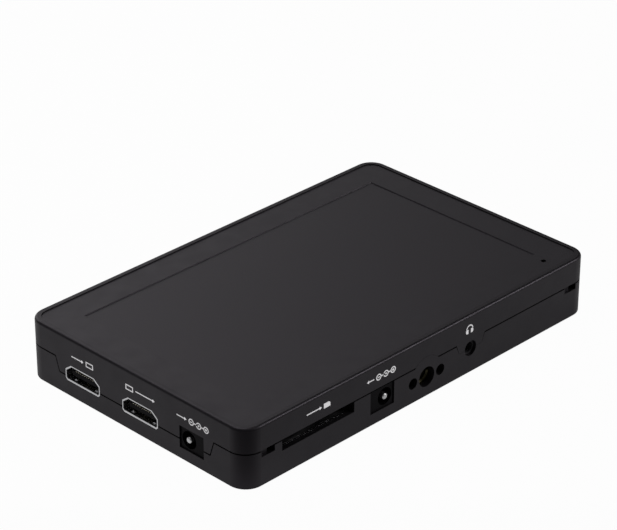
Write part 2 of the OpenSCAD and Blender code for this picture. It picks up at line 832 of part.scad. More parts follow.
// Insulator with the tongue that carries the contacts
module video_tongue(y) {
    back_l = 3;
    color([0.06, 0.06, 0.07]) translate([-half_w + video_recess, y, video_z]) {
        rotate([90, 0, 90]) translate([0, 0, video_l - video_t - back_l])
            linear_extrude(back_l) video_outline(-video_t - 0.02);
        translate([tongue_back, -tongue_w / 2, tongue_top - tongue_t])
            cube([video_l - video_t - tongue_back - cut, tongue_w, tongue_t]);
    }
}

// Contact strips on both faces of the tongue
module video_contacts(y) {
    strip_w = 0.5;
    strip_t = 0.12;
    strip_l = 6.4;
    strip_pitch = 0.9;
    upper_x = tongue_back + 0.05;
    lower_x = tongue_back + 0.7;
    color([0.85, 0.7, 0.35]) for (i = [-4:4])
        translate([-half_w + video_recess, y + i * strip_pitch - strip_w / 2, video_z]) {
            translate([upper_x, 0, tongue_top]) cube([strip_l, strip_w, strip_t]);
            translate([lower_x, 0, tongue_top - tongue_t - strip_t]) cube([strip_l, strip_w, strip_t]);
        }
}

// Power socket in x, with its mouth at x = 0 and its hole to +X, and two feet up to the board
module power_jack() {
    foot_l = 1.2;
    difference() {
        translate([0, -jack_w / 2, -jack_h / 2]) cube([jack_l, jack_w, jack_h]);
        translate([-cut, jack_hole_shift, 0]) rotate([0, 90, 0])
            cylinder(d = jack_hole_d, h = jack_hole_l + cut);
    }
    for (x = [jack_l / 4, jack_l - 2 * foot_l])
        translate([x, 1 - jack_w / 2, jack_h / 2 - fit]) cube([foot_l, jack_w - 2, jack_drop + fit]);
}

// Centre pin of a power socket, with a rounded edge at its tip
module power_pin() {
    r = jack_pin_d / 2;
    l = jack_hole_l - pin_tip;
    translate([pin_tip, jack_hole_shift, 0]) rotate([0, 90, 0]) rotate_extrude() {
        translate([0, pin_round]) square([r, l - pin_round]);
        square([r - pin_round, l]);
        translate([r - pin_round, pin_round]) circle(pin_round);
    }
}

module power_out_jack() {
    color([0.07, 0.07, 0.08]) translate([-half_w + jack_recess, power_out_y, jack_z]) power_jack();
}

module power_out_pin() {
    color([0.85, 0.85, 0.86]) translate([-half_w + jack_recess, power_out_y, jack_z]) power_pin();
}

module power_in_jack() {
    color([0.07, 0.07, 0.08]) translate([power_in_x, -half_h + jack_recess, jack_z])
        rotate([0, 0, 90]) mirror([0, 1, 0]) power_jack();
}

module power_in_pin() {
    color([0.85, 0.85, 0.86]) translate([power_in_x, -half_h + jack_recess, jack_z])
        rotate([0, 0, 90]) mirror([0, 1, 0]) power_pin();
}

// Card socket: rails, roof and back wall hanging under the board
module card_socket_base() {
    x0 = slot_x - socket_w / 2;
    back_l = 2;
    color([0.1, 0.1, 0.11]) difference() {
        translate([x0, socket_y, passage_z]) cube([socket_w, socket_l, socket_top - passage_z]);
        translate([slot_x - card_w / 2, socket_y - cut, passage_z - cut])
            cube([card_w, socket_l - back_l + cut, card_t + cut]);
        translate([slider_x - cut, slider_y, passage_z - cut])
            cube([slider_w + 2 * slide_fit + cut, slider_l + spring_l + card_travel,
                card_t + cut - slide_fit]);
        for (i = [-4:4])
            translate([slot_x + i * card_contact_pitch - card_contact_w / 2 - contact_gap,
                socket_y + card_contact_y - 0.5, passage_top - cut])
                cube([card_contact_w + 2 * contact_gap, card_contact_l + 1, 0.3 + cut]);
    }
}

module card_socket_cover() {
    color([0.76, 0.77, 0.79]) difference() {
        translate([slot_x - socket_w / 2, socket_y, passage_z - sheet_t]) cube([socket_w, socket_l, sheet_t]);
        translate([slot_x, socket_y + socket_l / 2, passage_z])
            cube([card_w * 0.6, socket_l * 0.3, 4 * sheet_t], center = true);
    }
}

module card_contacts() {
    color([0.85, 0.7, 0.35]) for (i = [-4:4])
        translate([slot_x + i * card_contact_pitch - card_contact_w / 2, socket_y + card_contact_y,
            passage_top - 0.1])
            cube([card_contact_w, card_contact_l, 0.35]);
}

module card_slider() {
    arm = 3;
    color([0.12, 0.12, 0.13]) {
        translate([slider_x + slide_fit, slider_y + slide_fit, passage_z + slide_fit])
            cube([slider_w, slider_l, card_t - 3 * slide_fit]);
        translate([slider_x - arm, slider_y + slider_l - 2, passage_z + slide_fit])
            cube([arm + 1, 2 + slide_fit, card_t - 4 * slide_fit]);
    }
}

module card_spring() {
    r = spring_d / 2;
    wire = 0.35;
    x = slider_x + slide_fit + slider_w / 2;
    color([0.7, 0.7, 0.72])
        translate([x, slider_y + slide_fit + slider_l, passage_z + card_t / 2])
            rotate([-90, 0, 0]) difference() {
                cylinder(r = r, h = spring_l + card_travel - slide_fit);
                translate([0, 0, -cut]) cylinder(r = r - wire, h = spring_l + card_travel + 2 * cut);
            }
}

module headphone_jack() {
    color([0.07, 0.07, 0.08]) difference() {
        union() {
            translate([phone_x - phone_w / 2, phone_y, phone_z - phone_h / 2])
                cube([phone_w, phone_l, phone_h]);
            translate([phone_x, phone_y + fit, phone_z]) rotate([90, 0, 0])
                cylinder(d = phone_d - 2 * fit, h = phone_nose_l + fit);
        }
        translate([phone_x, phone_y - phone_nose_l - cut, phone_z]) rotate([-90, 0, 0])
            cylinder(d = phone_bore_d, h = phone_l + phone_nose_l);
        for (y = [3, 7]) translate([phone_x - phone_w / 2 - cut, phone_y + y, phone_z - 0.5])
            cube([cut + 0.5, 1.6, 1]);
    }
}

module headphone_contacts() {
    color([0.85, 0.7, 0.35]) for (y = [3, 7])
        translate([phone_x - phone_w / 2 - 0.2, phone_y + y + 0.1, phone_z - 0.4]) cube([0.5, 1.4, 0.8]);
}

module mount_block() {
    color([0.72, 0.6, 0.32]) difference() {
        translate([thread_x - block_w / 2, block_y, block_low])
            cube([block_w, block_l, block_top - block_low]);
        translate([thread_x, block_y - cut, thread_z]) rotate([-90, 0, 0])
            cylinder(d = thread_d, h = thread_l + cut);
        for (side = [-1, 1]) translate([thread_x + side * pin_pitch / 2, block_y - cut, thread_z])
            rotate([-90, 0, 0]) cylinder(d = pin_d, h = pin_l + cut);
        at_block_screws() translate([0, 0, back_t]) cylinder(d = small_screw_d, h = block_screw_hole);
    }
}

module mount_block_screws() {
    color([0.2, 0.2, 0.21]) at_block_screws()
        screw_up(block_screw_z, small_screw_d, small_head_d, small_head_t, block_screw_l);
}

// Plate that the battery slides onto, with two pairs of overhanging tabs
module battery_plate() {
    z = bay_d - plate_t;
    tab_x = bay_w / 2 - fit - hook_tab_w;
    color([0.12, 0.12, 0.125]) difference() {
        union() {
            translate([-bay_w / 2 + fit, bay_y - bay_l / 2 + fit, z])
                cube([bay_w - 2 * fit, bay_l - 2 * fit, plate_t]);
            for (side = [0, 1], y = hook_tabs_y)
                mirror([side, 0, 0]) translate([tab_x, bay_y + y, hook_tab_z]) {
                    translate([hook_tab_w / 2, 0, 0]) cube([hook_tab_w / 2, hook_tab_l, z]);
                    cube([hook_tab_w, hook_tab_l, hook_tab_h]);
                }
            translate([-stop_w / 2, bay_y1 - stop_l, 0.4]) cube([stop_w, stop_l - fit, z]);
        }
        for (i = [-1:1]) translate([i * contact_pitch - contact_w / 2 - fit, bay_y1 - stop_l - cut, 0.8])
            cube([contact_w + 2 * fit, contact_l + cut, z + plate_t]);
        at_plate_screws() {
            translate([0, 0, -cut]) cylinder(d = small_screw_d + 0.3, h = bay_d + 2 * cut);
            translate([0, 0, z - cut]) cylinder(d = small_head_d + 0.3, h = cut + 0.7);
        }
        translate([-latch_w / 2 - slide_fit, latch_y - latch_l / 2 - slide_fit, z - cut])
            cube([latch_w + 2 * slide_fit, latch_l + 2 * slide_fit, plate_t + 2 * cut]);
    }
}

module plate_screws() {
    color([0.2, 0.2, 0.21]) at_plate_screws()
        screw_up(bay_d - plate_t - plate_screw_out, small_screw_d, small_head_d, small_head_t, plate_screw_l);
}

module battery_contacts() {
    color([0.85, 0.7, 0.35]) for (i = [-1:1]) translate([i * contact_pitch - contact_w / 2, 0, 1]) {
        translate([0, contact_y, 0]) cube([contact_w, contact_l - 0.8, contact_h]);
        translate([0, tail_y, 0]) cube([contact_w, 1, bay_top]);
    }
}

module battery_lead() {
    color([0.6, 0.1, 0.1]) for (i = [-1, 1])
        translate([i * contact_pitch, tail_y + 0.5, bay_top + 1])
            cylinder(d = lead_d, h = board_z - bay_top - 1);
}

// Latch lug that the battery pushes in as it slides on
module battery_latch() {
    color([0.2, 0.2, 0.21]) difference() {
        union() {
            translate([-latch_w / 2, latch_y - latch_l / 2, lug_z])
                cube([latch_w, latch_l, flange_z - lug_z + 0.5]);
            translate([-latch_w / 2 - latch_flange, latch_y - latch_l / 2 - latch_flange, flange_z])
                cube([latch_w + 2 * latch_flange, latch_l + 2 * latch_flange, flange_t]);
        }
        translate([0, latch_y, flange_z + flange_t - spring_hole_l]) cylinder(d = 2.8, h = body_d);
        translate([0, latch_y - latch_l / 2, lug_z]) rotate([40, 0, 0])
            cube([latch_w + cut, 6, 2.6], center = true);
    }
}

module latch_spring() {
    z = flange_z + flange_t - spring_hole_l;
    color([0.7, 0.7, 0.72]) translate([0, latch_y, z]) difference() {
        cylinder(d = 2.4, h = cage_top - z);
        translate([0, 0, -cut]) cylinder(d = 1.6, h = body_d);
    }
}

module key_board() {
    color([0.05, 0.25, 0.14]) translate([key_row_x - key_board_w / 2 + fit, key_board_y, key_board_z])
        cube([key_board_w - 2 * fit, key_board_t, board_z - 0.4 - key_board_z]);
}

module key_switches() {
    color([0.2, 0.2, 0.21]) for (i = [0:key_count - 1]) translate([key_x(i), switch_y, key_z]) {
        translate([-switch_w / 2, 0, -switch_h / 2]) cube([switch_w, switch_t, switch_h]);
        translate([0, switch_t, 0]) rotate([-90, 0, 0]) cylinder(d = 1.8, h = stem_t);
    }
}

module key_flex() {
    flex_w = 8;
    flex_t = 0.3;
    reach = 5;
    color([0.75, 0.45, 0.12]) translate([key_row_x - flex_w / 2, key_board_y, 0]) {
        translate([0, -flex_t, board_z - 2.4]) cube([flex_w, flex_t, 2.4]);
        translate([0, -reach, board_z - flex_t]) cube([flex_w, reach, flex_t]);
    }
}

// Key cap with the flange that keeps it in and the post that presses its switch
module key_cap(i) {
    color([0.13, 0.128, 0.135]) translate([key_x(i), 0, key_z]) {
        translate([-key_w / 2, flange_y + flange_t / 2, -key_h / 2])
            cube([key_w, key_y - flange_y - flange_t / 2, key_h]);
        translate([-key_w / 2 - flange_w, flange_y, -key_h / 2 - flange_w])
            cube([key_w + 2 * flange_w, flange_t, key_h + 2 * flange_w]);
        translate([0, flange_y + fit, 0]) rotate([90, 0, 0]) cylinder(d = post_d, h = post_l + fit);
    }
}

// Clear pipe from the lamp on the board to the dot on the front face
module light_pipe() {
    color([0.02, 0.02, 0.02]) translate([dot_x, dot_y, 0]) {
        translate([0, 0, board_top + lamp_h + fit])
            cylinder(d = pipe_d, h = plate_z - board_top - lamp_h - fit);
        translate([0, 0, plate_z - fit]) cylinder(d = dot_d, h = face_z - plate_z + fit - dot_recess);
    }
}

module status_lamp() {
    color([0.9, 0.9, 0.85]) translate([dot_x, dot_y, board_top + lamp_h / 2])
        cube([lamp_w, lamp_l, lamp_h], center = true);
}

module case_screws() {
    color([0.15, 0.15, 0.16]) at_case_screws()
        screw_up(screw_sink, screw_d, screw_head_d, screw_head_t, seam_z + 3.2 - screw_sink - screw_head_t);
}

module case_inserts() {
    color([0.72, 0.6, 0.32]) at_case_screws() translate([0, 0, seam_z + seam_gap]) difference() {
        cylinder(d = insert_d, h = insert_l);
        translate([0, 0, -cut]) cylinder(d = screw_d, h = insert_l + 2 * cut);
    }
}

module board_screws() {
    color([0.75, 0.75, 0.77]) at_standoffs()
        screw_up(board_z - small_head_t, small_screw_d, small_head_d, small_head_t,
            board_t + frame_z - board_top);
}

module frame_screws() {
    color([0.75, 0.75, 0.77]) at_frame_tabs()
        screw_up(frame_z - small_head_t, small_screw_d, small_head_d, small_head_t, frame_t + frame_screw_l);
}

front_shell();
rear_shell();
screen_cover();
cover_gasket();
lcd_panel();
backlight_unit();
mid_frame();
screen_flex();
main_board();
board_chips();
thermal_pad();
heat_spreader();
video_shell(video_in_y);  // video_in_shell
video_tongue(video_in_y);  // video_in_tongue
video_contacts(video_in_y);  // video_in_contacts
video_shell(video_out_y);  // video_out_shell
video_tongue(video_out_y);  // video_out_tongue
video_contacts(video_out_y);  // video_out_contacts
power_out_jack();
power_out_pin();
power_in_jack();
power_in_pin();
card_socket_base();
card_socket_cover();
card_contacts();
card_slider();
card_spring();
headphone_jack();
headphone_contacts();
mount_block();
mount_block_screws();
battery_plate();
battery_contacts();
battery_latch();
latch_spring();
plate_screws();
battery_lead();
key_board();
key_switches();
key_flex();
key_cap(5);  // power_key
key_cap(4);  // menu_key
key_cap(3);  // minus_key
key_cap(2);  // plus_key
key_cap(1);  // key_1
key_cap(0);  // key_2
light_pipe();
status_lamp();
case_screws();
case_inserts();
board_screws();
frame_screws();
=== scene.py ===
"""Finishes, printed signs, thread and coil springs of the field monitor, and its studio."""

import json
import math

import bmesh
import bpy
from mathutils import Matrix, Vector


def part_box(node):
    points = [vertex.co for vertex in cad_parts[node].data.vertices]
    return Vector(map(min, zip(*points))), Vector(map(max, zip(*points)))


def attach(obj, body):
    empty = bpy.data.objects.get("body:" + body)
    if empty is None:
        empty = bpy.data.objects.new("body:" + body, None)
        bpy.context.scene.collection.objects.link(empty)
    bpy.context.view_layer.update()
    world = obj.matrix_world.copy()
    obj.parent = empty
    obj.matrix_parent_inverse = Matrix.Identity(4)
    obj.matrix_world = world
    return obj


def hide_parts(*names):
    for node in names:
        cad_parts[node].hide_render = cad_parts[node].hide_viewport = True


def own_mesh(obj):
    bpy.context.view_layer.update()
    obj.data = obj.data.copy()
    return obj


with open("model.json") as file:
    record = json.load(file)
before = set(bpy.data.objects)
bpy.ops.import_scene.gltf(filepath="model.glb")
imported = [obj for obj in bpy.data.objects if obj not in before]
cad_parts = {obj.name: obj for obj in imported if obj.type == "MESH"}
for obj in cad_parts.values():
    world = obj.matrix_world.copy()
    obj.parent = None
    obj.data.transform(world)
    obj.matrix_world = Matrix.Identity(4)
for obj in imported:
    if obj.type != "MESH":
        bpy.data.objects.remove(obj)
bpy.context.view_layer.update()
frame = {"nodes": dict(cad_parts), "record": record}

MM = 0.001
WHITE_TO = ("Is Camera Ray", "Is Transmission Ray")
FLOOR_HALF = 6.0
FLOOR_DROP = 0.05
COIL_TURNS = 6
COIL_STEPS = 28
WIRE_SIDES = 10
INK_THICK = 0.02
INK_SINK = 0.004


# Studio

def add_camera():
    """The photograph's camera: its place in metres, and its right, up and back directions."""
    data = bpy.data.cameras.new("camera")
    data.sensor_fit = "HORIZONTAL"
    data.sensor_width = 36.0
    data.lens = 154.944
    data.clip_start = 0.01
    data.clip_end = 50.0
    right = (0.70403, -0.71017, 0.00206)
    up = (0.33965, 0.33926, 0.87723)
    back = (-0.62368, -0.6169, 0.48006)
    place = (-0.49658, -0.48895, 0.40743)
    camera = bpy.data.objects.new("camera", data)
    camera.matrix_world = Matrix([*zip(right, up, back, place), (0, 0, 0, 1)])
    bpy.context.collection.objects.link(camera)
    bpy.context.scene.camera = camera


def add_softbox(name, direction, distance, width, height, power):
    """A rectangular lamp at that direction from the object, turned to face it."""
    data = bpy.data.lights.new(name, "AREA")
    data.shape = "RECTANGLE"
    data.size = width
    data.size_y = height
    data.energy = power
    lamp = bpy.data.objects.new(name, data)
    toward = Vector(direction).normalized()
    lamp.rotation_euler = toward.to_track_quat("Z", "Y").to_euler()
    lamp.location = toward * distance
    bpy.context.collection.objects.link(lamp)


def add_math(tree, operation, first, second):
    """Result of an operation on two values, of which the second can be a plain number."""
    node = tree.nodes.new("ShaderNodeMath")
    node.operation = operation
    tree.links.new(first, node.inputs[0])
    if isinstance(second, float):
        node.inputs[1].default_value = second
    else:
        tree.links.new(second, node.inputs[1])
    return node.outputs[0]


def add_mix(tree, factor, first, second):
    """Shader that runs from the first to the second with the factor."""
    mix = tree.nodes.new("ShaderNodeMixShader")
    for i, source in enumerate((factor, first, second)):
        tree.links.new(source, mix.inputs[i])
    return mix.outputs[0]


def seen_white(tree):
    """A value that is 1 for the rays that see the white ground."""
    path = tree.nodes.new("ShaderNodeLightPath")
    return add_math(tree, "MAXIMUM", path.outputs[WHITE_TO[0]], path.outputs[WHITE_TO[1]])


def add_slope(tree, coords, direction, start, full, low, high):
    """Value that runs smoothly from low to high along one direction."""
    dot = tree.nodes.new("ShaderNodeVectorMath")
    dot.operation = "DOT_PRODUCT"
    dot.inputs[1].default_value = Vector(direction).normalized()
    tree.links.new(coords, dot.inputs[0])
    ramp = tree.nodes.new("ShaderNodeMapRange")
    ramp.interpolation_type = "SMOOTHSTEP"
    for socket, value in (("From Min", start), ("From Max", full), ("To Min", low), ("To Max", high)):
        ramp.inputs[socket].default_value = value
    tree.links.new(dot.outputs["Value"], ramp.inputs["Value"])
    return ramp.outputs["Result"]


def make_world():
    """White to the camera, and to everything else a dim room with one soft panel."""
    world = bpy.data.worlds.new("studio")
    world.use_nodes = True
    tree = world.node_tree
    tree.nodes.clear()
    room = tree.nodes.new("ShaderNodeBackground")
    room.inputs["Color"].default_value = (1.0, 0.985, 1.0, 1.0)
    coords = tree.nodes.new("ShaderNodeTexCoord").outputs["Generated"]
    panel = add_slope(tree, coords, (0.24, 0.85, 0.46), 0.84, 0.99, 0.0, 1.32)
    tree.links.new(add_math(tree, "ADD", panel, 0.1), room.inputs["Strength"])
    white = tree.nodes.new("ShaderNodeBackground")
    out = tree.nodes.new("ShaderNodeOutputWorld")
    tree.links.new(add_mix(tree, seen_white(tree), room.outputs[0], white.outputs[0]), out.inputs["Surface"])
    bpy.context.scene.world = world


def make_floor():
    """Plain white floor that keeps a faint shadow. To the object its colour and glow carry a painted shade
    that falls off towards the camera.

    It is open to a view from below, so that the back of the object can be looked at.
    """
    material, tree, shader = start_material("floor_paper", (0.8, 0.8, 0.8), 0.9, specular=0.0)
    coords = tree.nodes.new("ShaderNodeTexCoord").outputs["Object"]
    # painted shade: the floor's colour and glow, as the object sees them, darken towards the camera-side
    # corner
    across = add_slope(tree, coords, (1, 1, 0), -0.105, -0.078, 0.18, 0.68)
    along = add_slope(tree, coords, (-1, 1, 0), -0.02, 0.03, 0.72, 1.0)
    light = add_math(tree, "MULTIPLY", across, along)
    tree.links.new(light, shader.inputs["Base Color"])
    seen = seen_white(tree)
    glow = tree.nodes.new("ShaderNodeEmission")
    tree.links.new(add_math(tree, "MAXIMUM", light, seen), glow.inputs["Strength"])
    kept = tree.nodes.new("ShaderNodeMapRange")
    kept.inputs["To Min"].default_value = 0.55
    kept.inputs["To Max"].default_value = 0.975
    tree.links.new(seen, kept.inputs["Value"])
    paper = add_mix(tree, kept.outputs["Result"], shader.outputs[0], glow.outputs[0])
    side = tree.nodes.new("ShaderNodeNewGeometry")
    clear = tree.nodes.new("ShaderNodeBsdfTransparent")
    one_sided = add_mix(tree, side.outputs["Backfacing"], paper, clear.outputs[0])
    tree.links.new(one_sided, tree.nodes["Material Output"].inputs["Surface"])
    bm = bmesh.new()
    bmesh.ops.create_grid(bm, x_segments=1, y_segments=1, size=FLOOR_HALF)
    bmesh.ops.translate(bm, verts=bm.verts, vec=(0, 0, -FLOOR_DROP * MM))
    floor = finish_piece("floor", bm, material)


# Finishes

def start_material(name, color, roughness, metallic=0.0, specular=0.5, sheen=(1.0, 1.0, 1.0)):
    """A material with one shader and its plain values. Sheen tints what the surface reflects."""
    material = bpy.data.materials.new(name)
    material.use_nodes = True
    tree = material.node_tree
    shader = tree.nodes["Principled BSDF"]
    shader.inputs["Base Color"].default_value = (*color, 1.0)
    shader.inputs["Roughness"].default_value = roughness
    shader.inputs["Metallic"].default_value = metallic
    shader.inputs["Specular IOR Level"].default_value = specular
    shader.inputs["Specular Tint"].default_value = (*sheen, 1.0)
    return material, tree, shader


def add_noise(tree, size, stretch=(1, 1, 1), detail=2.0):
    """Noise with features of that size in millimetres, drawn out by stretch."""
    coords = tree.nodes.new("ShaderNodeTexCoord")
    mapping = tree.nodes.new("ShaderNodeMapping")
    mapping.inputs["Scale"].default_value = [1 / s for s in stretch]
    noise = tree.nodes.new("ShaderNodeTexNoise")
    noise.inputs["Scale"].default_value = 1 / (size * MM)
    noise.inputs["Detail"].default_value = detail
    tree.links.new(coords.outputs["Object"], mapping.inputs["Vector"])
    tree.links.new(mapping.outputs[0], noise.inputs["Vector"])
    return noise.outputs["Fac"]


def add_bump(tree, shader, height, depth, strength=1.0):
    """Relief of that depth in millimetres on the shader's normal."""
    bump = tree.nodes.new("ShaderNodeBump")
    bump.inputs["Strength"].default_value = strength
    bump.inputs["Distance"].default_value = depth * MM
    tree.links.new(height, bump.inputs["Height"])
    tree.links.new(bump.outputs[0], shader.inputs["Normal"])


def add_tones(tree, shader, pattern, dark, light, low=0.35, high=0.65):
    """Base colour that runs from dark to light with a pattern."""
    ramp = tree.nodes.new("ShaderNodeValToRGB")
    ramp.color_ramp.elements[0].position = low
    ramp.color_ramp.elements[0].color = (*dark, 1.0)
    ramp.color_ramp.elements[1].position = high
    ramp.color_ramp.elements[1].color = (*light, 1.0)
    tree.links.new(pattern, ramp.inputs["Fac"])
    tree.links.new(ramp.outputs["Color"], shader.inputs["Base Color"])


def add_polish(tree, shader, pattern, low, high):
    """Roughness that runs from low to high with a pattern."""
    ramp = tree.nodes.new("ShaderNodeMapRange")
    ramp.inputs["From Min"].default_value = 0.3
    ramp.inputs["From Max"].default_value = 0.7
    ramp.inputs["To Min"].default_value = low
    ramp.inputs["To Max"].default_value = high
    tree.links.new(pattern, ramp.inputs["Value"])
    tree.links.new(ramp.outputs["Result"], shader.inputs["Roughness"])


def around(color, part):
    """A colour a little darker and a little lighter than the one given."""
    return [c * (1 - part) for c in color], [c * (1 + part) for c in color]


def moulded_plastic(name, color, roughness, grain=0.22, depth=0.006, specular=0.35, sheen=(0.96, 0.87, 1.0)):
    """Plastic from a spark-eroded mould: fine even grain and faint cloudy tones."""
    material, tree, shader = start_material(name, color, roughness, specular=specular, sheen=sheen)
    add_tones(tree, shader, add_noise(tree, 14, detail=3.0), *around(color, 0.08))
    add_polish(tree, shader, add_noise(tree, 6, detail=4.0), roughness - 0.04, roughness + 0.04)
    add_bump(tree, shader, add_noise(tree, grain, detail=3.0), depth)
    return material


def plated_metal(name, color, roughness, stretch=(1, 1, 1), grain=0.5, depth=0.004):
    """Metal with drawing lines or a fine blast, and clouds in its polish."""
    material, tree, shader = start_material(name, color, roughness, metallic=1.0)
    add_tones(tree, shader, add_noise(tree, 3, detail=3.0), *around(color, 0.06))
    add_polish(tree, shader, add_noise(tree, 1.5, stretch), roughness * 0.75, roughness * 1.3)
    add_bump(tree, shader, add_noise(tree, grain, stretch), depth)
    return material


def soft_foam(name, color, cell):
    """Closed-cell foam or soft rubber with small round pores."""
    material, tree, shader = start_material(name, color, 0.85, specular=0.2)
    coords = tree.nodes.new("ShaderNodeTexCoord")
    cells = tree.nodes.new("ShaderNodeTexVoronoi")
    cells.inputs["Scale"].default_value = 1 / (cell * MM)
    tree.links.new(coords.outputs["Object"], cells.inputs["Vector"])
    add_tones(tree, shader, cells.outputs["Distance"], *around(color, 0.25))
    add_bump(tree, shader, cells.outputs["Distance"], 0.05)
    return material


def circuit_board(name, mask, trace):
    """Solder mask over copper runs, with the runs standing a little proud."""
    material, tree, shader = start_material(name, mask, 0.32)
    coords = tree.nodes.new("ShaderNodeTexCoord")
    runs = tree.nodes.new("ShaderNodeTexBrick")
    runs.inputs["Scale"].default_value = 140.0
    runs.inputs["Mortar Size"].default_value = 0.035
    runs.inputs["Mortar Smooth"].default_value = 0.2
    runs.inputs["Brick Width"].default_value = 0.9
    runs.inputs["Row Height"].default_value = 0.16
    tree.links.new(coords.outputs["Object"], runs.inputs["Vector"])
    add_tones(tree, shader, runs.outputs["Fac"], mask, trace, 0.1, 0.9)
    add_polish(tree, shader, add_noise(tree, 4), 0.25, 0.42)
    add_bump(tree, shader, runs.outputs["Fac"], 0.03)
    return material


def ribbon_film(name, film, copper):
    """Amber film with parallel copper lines under it."""
    material, tree, shader = start_material(name, film, 0.25)
    coords = tree.nodes.new("ShaderNodeTexCoord")
    lines = tree.nodes.new("ShaderNodeTexWave")
    lines.inputs["Scale"].default_value = 320.0
    tree.links.new(coords.outputs["Object"], lines.inputs["Vector"])
    add_tones(tree, shader, lines.outputs["Fac"], film, copper, 0.4, 0.6)
    add_bump(tree, shader, lines.outputs["Fac"], 0.01)
    return material


def anti_glare(name, color, roughness):
    """Smoked cover with an etched surface against reflections."""
    material, tree, shader = start_material(name, color, roughness, specular=0.4, sheen=(0.96, 0.87, 1.0))
    add_tones(tree, shader, add_noise(tree, 40), *around(color, 0.05))
    add_polish(tree, shader, add_noise(tree, 0.4), roughness - 0.03, roughness + 0.03)
    add_bump(tree, shader, add_noise(tree, 0.09), 0.0015)
    return material


def make_finishes():
    """One material for each slot of the record."""
    return {
        "front_plastic": moulded_plastic("front_plastic", (0.0085, 0.0078, 0.009), 0.42, specular=0.4),
        "rear_plastic": moulded_plastic("rear_plastic", (0.0085, 0.0078, 0.009), 0.42, specular=0.4),
        "screen": anti_glare("screen", (0.0085, 0.0078, 0.009), 0.42),
        "gasket_rubber": soft_foam("gasket_rubber", (0.02, 0.02, 0.02), 0.25),
        "panel_glass": anti_glare("panel_glass", (0.01, 0.012, 0.018), 0.12),
        "backlight_sheet": plated_metal("backlight_sheet", (0.6, 0.6, 0.62), 0.3, (8, 1, 1)),
        "frame_aluminium": plated_metal("frame_aluminium", (0.62, 0.63, 0.65), 0.42, grain=0.15, depth=0.01),
        "flex_film": ribbon_film("flex_film", (0.5, 0.22, 0.03), (0.62, 0.33, 0.1)),
        "board_laminate": circuit_board("board_laminate", (0.008, 0.07, 0.03), (0.02, 0.16, 0.07)),
        "chip_plastic": moulded_plastic("chip_plastic", (0.018, 0.018, 0.02), 0.55, grain=0.12),
        "pad_rubber": soft_foam("pad_rubber", (0.3, 0.36, 0.46), 0.5),
        "socket_steel": plated_metal("socket_steel", (0.84, 0.84, 0.86), 0.26, (6, 1, 1), grain=0.2,
                                     depth=0.001),
        "insulator": moulded_plastic("insulator", (0.004, 0.0038, 0.0045), 0.4, grain=0.15, depth=0.003,
                                     specular=0.06),
        "jack_nylon": moulded_plastic("jack_nylon", (0.03, 0.029, 0.031), 0.4, grain=0.15, depth=0.003),
        "contact_brass": plated_metal("contact_brass", (0.95, 0.86, 0.62), 0.3, grain=0.2, depth=0.001),
        "video_contact": plated_metal("video_contact", (1.0, 0.93, 0.76), 0.35, grain=0.2, depth=0.001),
        "pin_chrome": plated_metal("pin_chrome", (0.8, 0.8, 0.81), 0.3, grain=0.2, depth=0.0005),
        "spring_steel": plated_metal("spring_steel", (0.6, 0.6, 0.62), 0.25, grain=0.1, depth=0.002),
        # painted shade: the block's brass is darkened far below its own colour, for the deep tripod bore
        "block_brass": plated_metal("block_brass", (0.06, 0.054, 0.03), 0.5, (1, 5, 1), grain=0.25),
        "black_screw": plated_metal("black_screw", (0.045, 0.045, 0.05), 0.38, grain=0.2),
        "plain_screw": plated_metal("plain_screw", (0.62, 0.62, 0.64), 0.28, grain=0.2),
        "plate_plastic": moulded_plastic("plate_plastic", (0.02, 0.02, 0.022), 0.5, grain=0.3, depth=0.01),
        "latch_plastic": moulded_plastic("latch_plastic", (0.045, 0.045, 0.048), 0.34, grain=0.2,
                                         depth=0.003),
        "lead_sleeve": moulded_plastic("lead_sleeve", (0.35, 0.02, 0.02), 0.3, grain=0.4, depth=0.004),
        "smoked_window": anti_glare("smoked_window", (0.002, 0.002, 0.0025), 0.1),
        "lamp": anti_glare("lamp", (0.75, 0.75, 0.68), 0.15),
        "key_plastic": moulded_plastic("key_plastic", (0.016, 0.0155, 0.017), 0.42, grain=0.18),
    }


def dress_nodes(finishes):
    """Gives every part of the frame the finish of its slot."""
    for part in frame["record"]["subparts"]:
        mesh = frame["nodes"][part["node"]].data
        mesh.materials.clear()
        mesh.materials.append(finishes[part["material_slot"]])


def paint_rim_shade(material, start, full, part):
    """Paints shade on a shell's rim: takes that part of its colour off, from one height in millimetres to
    another.
    """
    tree = material.node_tree
    color = tree.nodes["Principled BSDF"].inputs["Base Color"]
    coords = tree.nodes.new("ShaderNodeTexCoord")
    split = tree.nodes.new("ShaderNodeSeparateXYZ")
    ramp = tree.nodes.new("ShaderNodeMapRange")
    ramp.inputs["From Min"].default_value = start * MM
    ramp.inputs["From Max"].default_value = full * MM
    ramp.inputs["To Min"].default_value = 1.0
    ramp.inputs["To Max"].default_value = 1.0 - part
    scale = tree.nodes.new("ShaderNodeVectorMath")
    scale.operation = "SCALE"
    tree.links.new(coords.outputs["Object"], split.inputs[0])
    tree.links.new(split.outputs["Z"], ramp.inputs["Value"])
    tree.links.new(ramp.outputs["Result"], scale.inputs["Scale"])
    tree.links.new(color.links[0].from_socket, scale.inputs[0])
    tree.links.new(scale.outputs["Vector"], color)


def round_edges(node, width):
    """Rounds a part's sharp edges by that width in millimetres."""
    bevel = frame["nodes"][node].modifiers.new("round_edges", "BEVEL")
    bevel.width = width * MM
    bevel.segments = 2
    bevel.limit_method = "ANGLE"
    bevel.angle_limit = math.radians(35)


# Pieces

def finish_piece(name, bm, material):
    """Turns a finished bmesh into an object at the origin."""
    mesh = bpy.data.meshes.new(name)
    bm.to_mesh(mesh)
    bm.free()
    mesh.materials.append(material)
    piece = bpy.data.objects.new(name, mesh)
    bpy.context.collection.objects.link(piece)
    return piece


